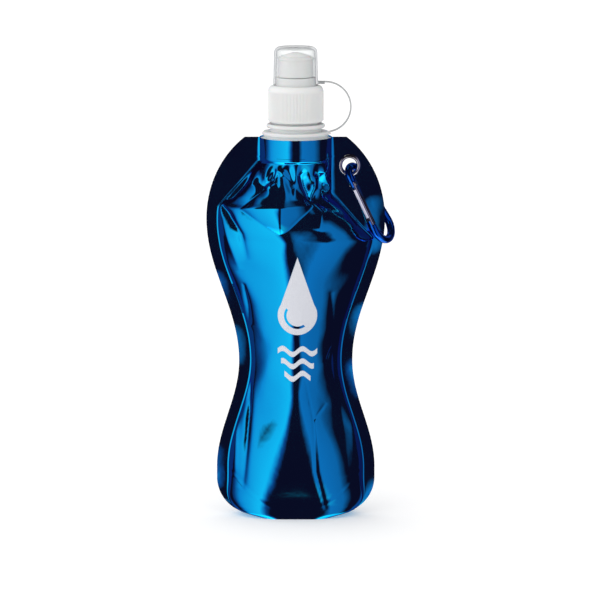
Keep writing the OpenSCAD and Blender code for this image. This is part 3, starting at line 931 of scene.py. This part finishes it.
def paint_hard_parts():
    natural = moulded(
        "natural_plastic", (0.79, 0.80, 0.80), 0.35, Subsurface_Weight=0.15, Subsurface_Scale=0.003
    )
    nickel = metal("nickel", (0.78, 0.74, 0.7), 0.1)
    steel = metal("steel", (0.6, 0.6, 0.6), 0.3)
    finishes = {
        "spout": natural,
        "tether_ring": natural,
        "dust_cover": clear_material(),
        "screw_cap": ribbed_white(),
        "cap_seal": moulded("seal_foam", (0.8, 0.8, 0.78), 0.8),
        "nozzle": moulded("white_plastic", (0.84, 0.84, 0.83), 0.42, **PLASTIC_SCATTER),
        "eyelet": nickel,
        "eyelet_washer": nickel,
        "carabiner_hook": metal("blue_anodised", (0.01, 0.16, 0.72), 0.16),
        "carabiner_gate": metal("bright_aluminium", (0.92, 0.93, 0.95), 0.16, (1, 1, 0.1)),
        "gate_rivet": steel,
        "latch_pin": steel,
        "gate_spring": steel,
    }
    for node, material in finishes.items():
        paint(node, material)


# ---- studio ---------------------------------------------------------------------------------

GLOOM = 0.014  # the unlit studio between the softboxes that the film mirrors
GLOOM_COLOUR = (0.5, 0.4, 1.0)
FLOOR_SHEEN = 1.05  # the floor, mirrored by faces that look down
DAYLIGHT = 1.06  # the light that matt surfaces see
BACKDROP = 0.4  # how much brighter the camera sees the backdrop

# softboxes that only glossy surfaces see, by turn from the camera in radians, negative to the
# left: the near and the far end, and how softly each ends
LEFT_BOX = (-0.26, -1.8, 0.2, 0.5)
LEFT_BORDER = (-0.16, -2.0, 0.2, 0.5)
RIGHT_BOX = (0.18, 1.5, 0.2, 0.4)
LOW_RIGHT_BOX = (0.18, 1.2, 0.2, 0.4)
LEFT_RIM = (-2.25, -3.0, 0.2, 0.2)
RIGHT_RIM = (2.1, 2.95, 0.2, 0.2)

# their colours and strengths
KEY = (0.75, 0.78, 0.45), 1.0
BORDER = (0.3, 0.26, 0.6), 1.0
FILL = (0.6, 0.58, 1.0), 0.55
RIM = (0.45, 0.5, 1.0), 0.3

FLOOR_HALF, FLOOR_DROP = 3000, 0.05

CAMERA_ELEVATION, CAMERA_DISTANCE = math.radians(9), 2.4
CAMERA_TARGET = Vector((0.0024, 0, 0.1219))
LENS, SENSOR = 257, 36


def direction_parts(w):
    """A ray's x, its height as a sine, and its turn from the camera: 0 is towards it."""
    x, y, z = w.parts(w.coords("Generated"))
    return x, z, w.math("ARCTAN2", x, w.times(y, -1))


def softbox(w, turn, near, far, soft_near, soft_far):
    """How much of a softbox is seen at a turn."""
    side = w.times(turn, -1 if near < 0 else 1)
    inner = w.span(side, abs(near), abs(near) + soft_near, 0, 1)
    outer = w.span(side, abs(far) - soft_far, abs(far), 1, 0)
    return w.times(inner, outer)


def light(w, colour, strength):
    """Light from all round, of one colour."""
    back = w.node("ShaderNodeBackground")
    back.inputs["Color"].default_value = (*colour, 1)
    w.link(strength, back.inputs["Strength"])
    return back.outputs[0]


def softboxes(w, turn, z):
    """Each softbox's colour and strength, with how much of it is seen."""
    side = w.absolute(turn)
    left = w.times(softbox(w, turn, *LEFT_BOX), w.span(side, 0.35, 1.3, 1.0, 0.5))
    right = w.times(softbox(w, turn, *RIGHT_BOX), w.span(side, 0.3, 1.3, 1.0, 0.7))
    low_right = w.times(softbox(w, turn, *LOW_RIGHT_BOX), w.span(z, -0.62, -0.5, 0.5, 0))
    rims = w.plus(softbox(w, turn, *LEFT_RIM), softbox(w, turn, *RIGHT_RIM))
    border = softbox(w, turn, *LEFT_BORDER)
    return (KEY, left), (BORDER, border), (FILL, right), (KEY, low_right), (RIM, rims)


def studio_light():
    """Soft light all round for matt surfaces; for mirror-like ones, softboxes with gloom between."""
    world = bpy.data.worlds.new("studio")
    bpy.context.scene.world = world
    world.use_nodes = True
    w = Shader.of_world(world)
    x, z, turn = direction_parts(w)
    path = w.node("ShaderNodeLightPath").outputs
    is_glossy, is_camera = path["Is Glossy Ray"], path["Is Camera Ray"]
    # the boxes stand higher at the sides than in front
    raised = w.plus(w.span(turn, 0.5, 1.0, 0, 0.6), w.span(turn, -1.55, -1.1, 0.6, 0))
    below_top = w.times(w.span(w.minus(z, raised), 0.08, 0.24, 1, 0), is_glossy)
    # matt surfaces are lit a little more from the left
    even = w.times(w.math("MULTIPLY_ADD", x, -0.4, 1.0), DAYLIGHT)
    even = w.plus(even, w.times(is_camera, BACKDROP))
    even = w.times(even, w.minus(1.0, is_glossy))
    floor = w.times(w.span(z, -0.8, -0.7, FLOOR_SHEEN, 0), is_glossy)
    total = light(w, (1, 1, 1), w.plus(even, floor))
    lights = [
        light(w, colour, w.times(w.times(amount, below_top), strength))
        for (colour, strength), amount in softboxes(w, turn, z)
    ]
    lights.append(light(w, GLOOM_COLOUR, w.times(is_glossy, GLOOM)))
    for one in lights:
        both = w.node("ShaderNodeAddShader")
        w.link(total, both.inputs[0])
        w.link(one, both.inputs[1])
        total = both.outputs[0]
    w.link(total, w.node("ShaderNodeOutputWorld").inputs["Surface"])


def floor_paint():
    """Pale matt paint that the camera sees as bright as the backdrop."""
    s = Shader("floor_paint")
    seen = s.node("ShaderNodeLightPath").outputs["Is Camera Ray"]
    s.set(
        Base_Color=s.mix(s.noise(s.coords(), 3, 2), (0.88, 0.88, 0.88), (0.9, 0.9, 0.9)),
        Roughness=0.9,
        Emission_Color=(1, 1, 1, 1),
        Emission_Strength=s.times(seen, BACKDROP / 2),
    )
    return s.mat


def build_studio():
    """A pale floor under soft light."""
    corners = [
        (x * FLOOR_HALF, y * FLOOR_HALF, -FLOOR_DROP)
        for x, y in ((-1, -1), (1, -1), (1, 1), (-1, 1))
    ]
    floor = new_mesh("floor", corners, [(0, 1, 2, 3)])
    floor.data.materials.append(floor_paint())
    floor.visible_glossy = False
    studio_light()
    bpy.context.scene.view_settings.view_transform = "Standard"


def build_camera():
    cam = bpy.data.objects.new("camera", bpy.data.cameras.new("camera"))
    cam.data.lens = LENS
    cam.data.sensor_width = SENSOR
    back = Vector((0, -math.cos(CAMERA_ELEVATION), math.sin(CAMERA_ELEVATION)))
    cam.location = CAMERA_TARGET + CAMERA_DISTANCE * back
    cam.rotation_euler = (math.radians(90) - CAMERA_ELEVATION, 0, 0)
    bpy.context.scene.collection.objects.link(cam)
    bpy.context.scene.camera = cam


foil = foil_material()
build_film(foil)
build_gusset(foil)
paint_hard_parts()
build_strap(moulded("strap_plastic", (0.5, 0.51, 0.51), 0.3))
build_studio()
build_camera()
